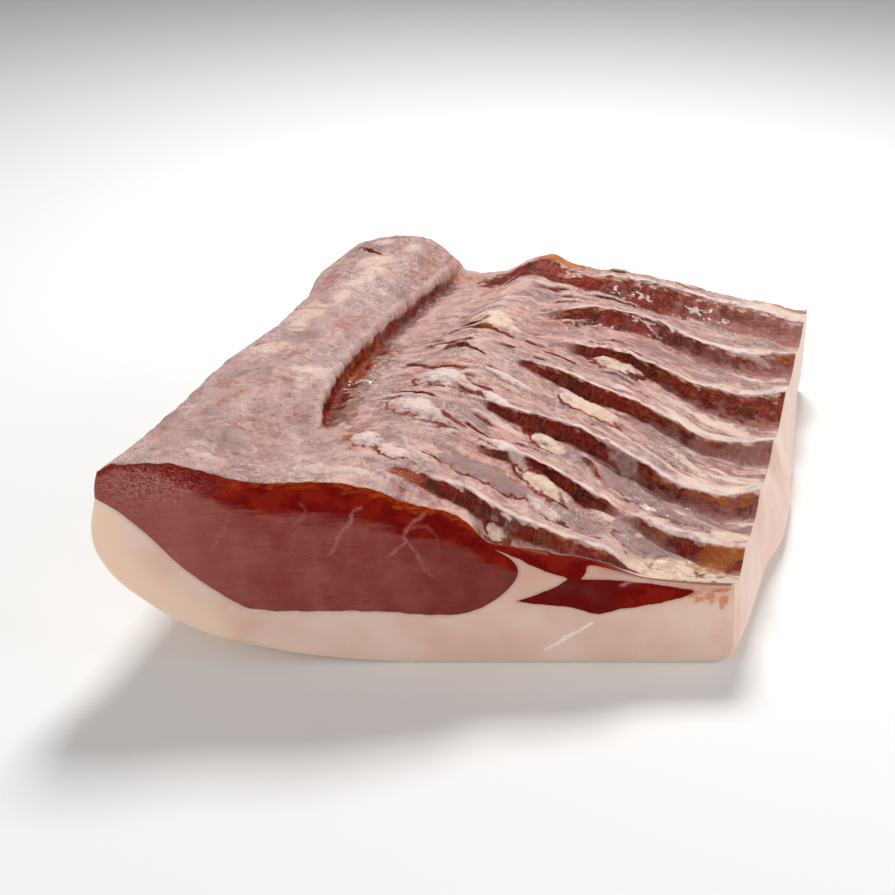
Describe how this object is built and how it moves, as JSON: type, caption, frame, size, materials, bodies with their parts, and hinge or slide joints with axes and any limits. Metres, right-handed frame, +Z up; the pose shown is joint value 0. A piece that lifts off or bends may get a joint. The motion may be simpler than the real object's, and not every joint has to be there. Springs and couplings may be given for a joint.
{
  "type": "dry-cured pork loin",
  "caption": "Boned dry-cured pork loin slab on its back fat, cut square at both ends, with meat ridges between the rib beds on top.",
  "frame": {"origin": "middle of the base of the bounding box, on the surface that the slab lies on", "axes": "+X across the loin, from the thick back edge with the eye muscle to the thin edge, +Y from the front cut to the back cut, +Z up, from the fat to the rib side"},
  "size_m": [0.2312, 0.165, 0.0646],
  "materials": {
    "back_fat": "smooth pinkish cream back fat, satin",
    "eye_muscle": "dull red cured lean on the cuts, pale pink-grey bloom on top",
    "rib_meat": "pale ridges with dark dried flanks, moist in places",
    "flank_muscle": "deep red cured lean, moist"
  },
  "bodies": {
    "root": {"back_fat": "back_fat", "eye_muscle": "eye_muscle", "rib_meat": "rib_meat", "flank_muscle": "flank_muscle"}
  },
  "joints": []
}
